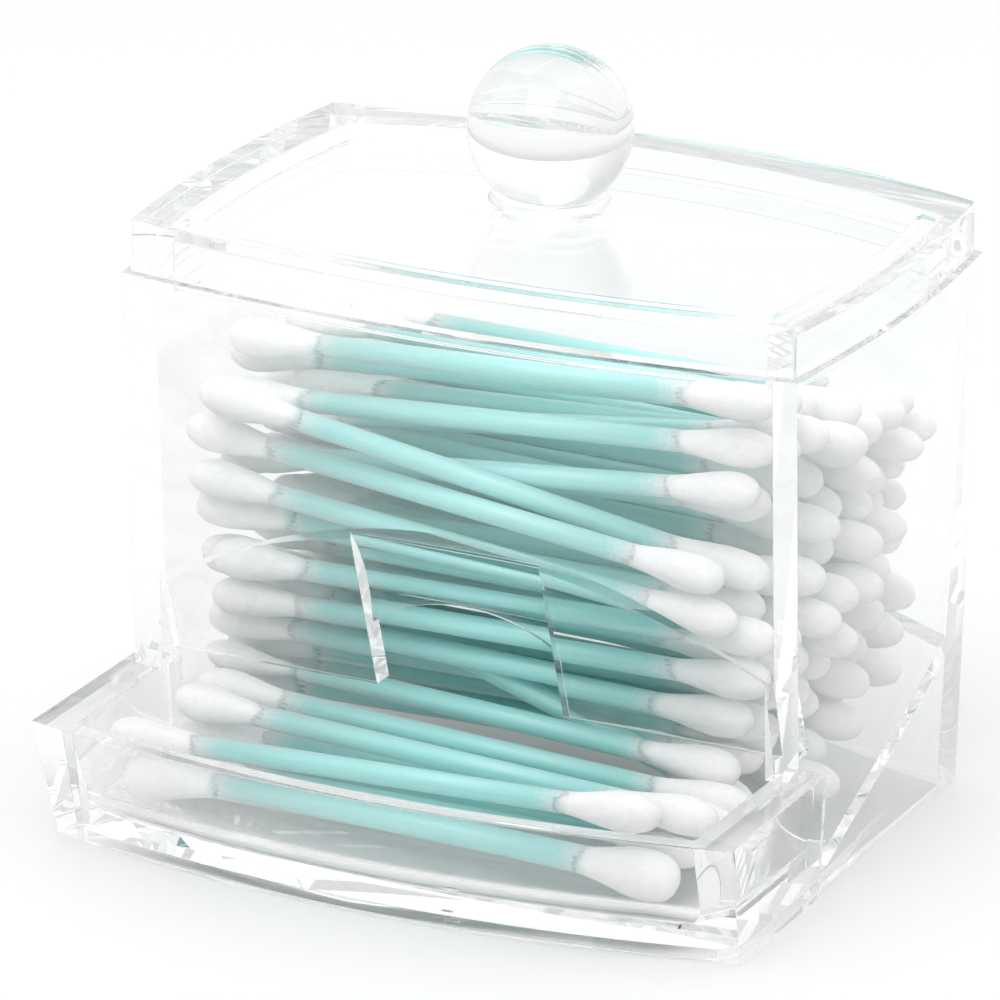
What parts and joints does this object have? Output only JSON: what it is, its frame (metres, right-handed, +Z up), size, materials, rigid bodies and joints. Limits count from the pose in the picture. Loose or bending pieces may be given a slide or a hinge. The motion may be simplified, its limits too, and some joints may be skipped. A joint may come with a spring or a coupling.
{
  "type": "cotton swab storage box",
  "caption": "Clear plastic dispenser box for cotton swabs with a lift-off lid with a ball knob, a sloping floor that feeds an open front tray, and its filling of double-ended swabs.",
  "frame": {"origin": "on the ground, at the middle of the whole outline seen from above", "axes": "+Z up, -Y towards the front with the tray, +X to the right of someone facing the front"},
  "size_m": [0.094, 0.0896, 0.096],
  "materials": {
    "clear_plastic": "clear, polished",
    "stick_plastic": "smooth, slightly translucent",
    "cotton": "soft wound cotton"
  },
  "bodies": {
    "box": {"box_body": "clear_plastic", "front_buds": "cotton", "front_sticks": "stick_plastic", "layer_1_buds": "cotton", "layer_1_sticks": "stick_plastic", "layer_2_buds": "cotton", "layer_2_sticks": "stick_plastic", "layer_3_buds": "cotton", "layer_3_sticks": "stick_plastic", "layer_4_buds": "cotton", "layer_4_sticks": "stick_plastic", "layer_5_buds": "cotton", "layer_5_sticks": "stick_plastic", "layer_6_buds": "cotton", "layer_6_sticks": "stick_plastic", "layer_7_buds": "cotton", "layer_7_sticks": "stick_plastic", "layer_8_buds": "cotton", "layer_8_sticks": "stick_plastic", "tray_swab_10_buds": "cotton", "tray_swab_10_stick": "stick_plastic", "tray_swab_1_buds": "cotton", "tray_swab_1_stick": "stick_plastic", "tray_swab_2_buds": "cotton", "tray_swab_2_stick": "stick_plastic", "tray_swab_3_buds": "cotton", "tray_swab_3_stick": "stick_plastic", "tray_swab_4_buds": "cotton", "tray_swab_4_stick": "stick_plastic", "tray_swab_5_buds": "cotton", "tray_swab_5_stick": "stick_plastic", "tray_swab_6_buds": "cotton", "tray_swab_6_stick": "stick_plastic", "tray_swab_7_buds": "cotton", "tray_swab_7_stick": "stick_plastic", "tray_swab_8_buds": "cotton", "tray_swab_8_stick": "stick_plastic", "tray_swab_9_buds": "cotton", "tray_swab_9_stick": "stick_plastic"},
    "lid": {"lid": "clear_plastic", "knob": "clear_plastic"}
  },
  "joints": [
    {"name": "lid_lift", "type": "slide", "parent": "box", "child": "lid", "axis": [0, 0, 1], "range_m": [0, 0.05]}
  ]
}
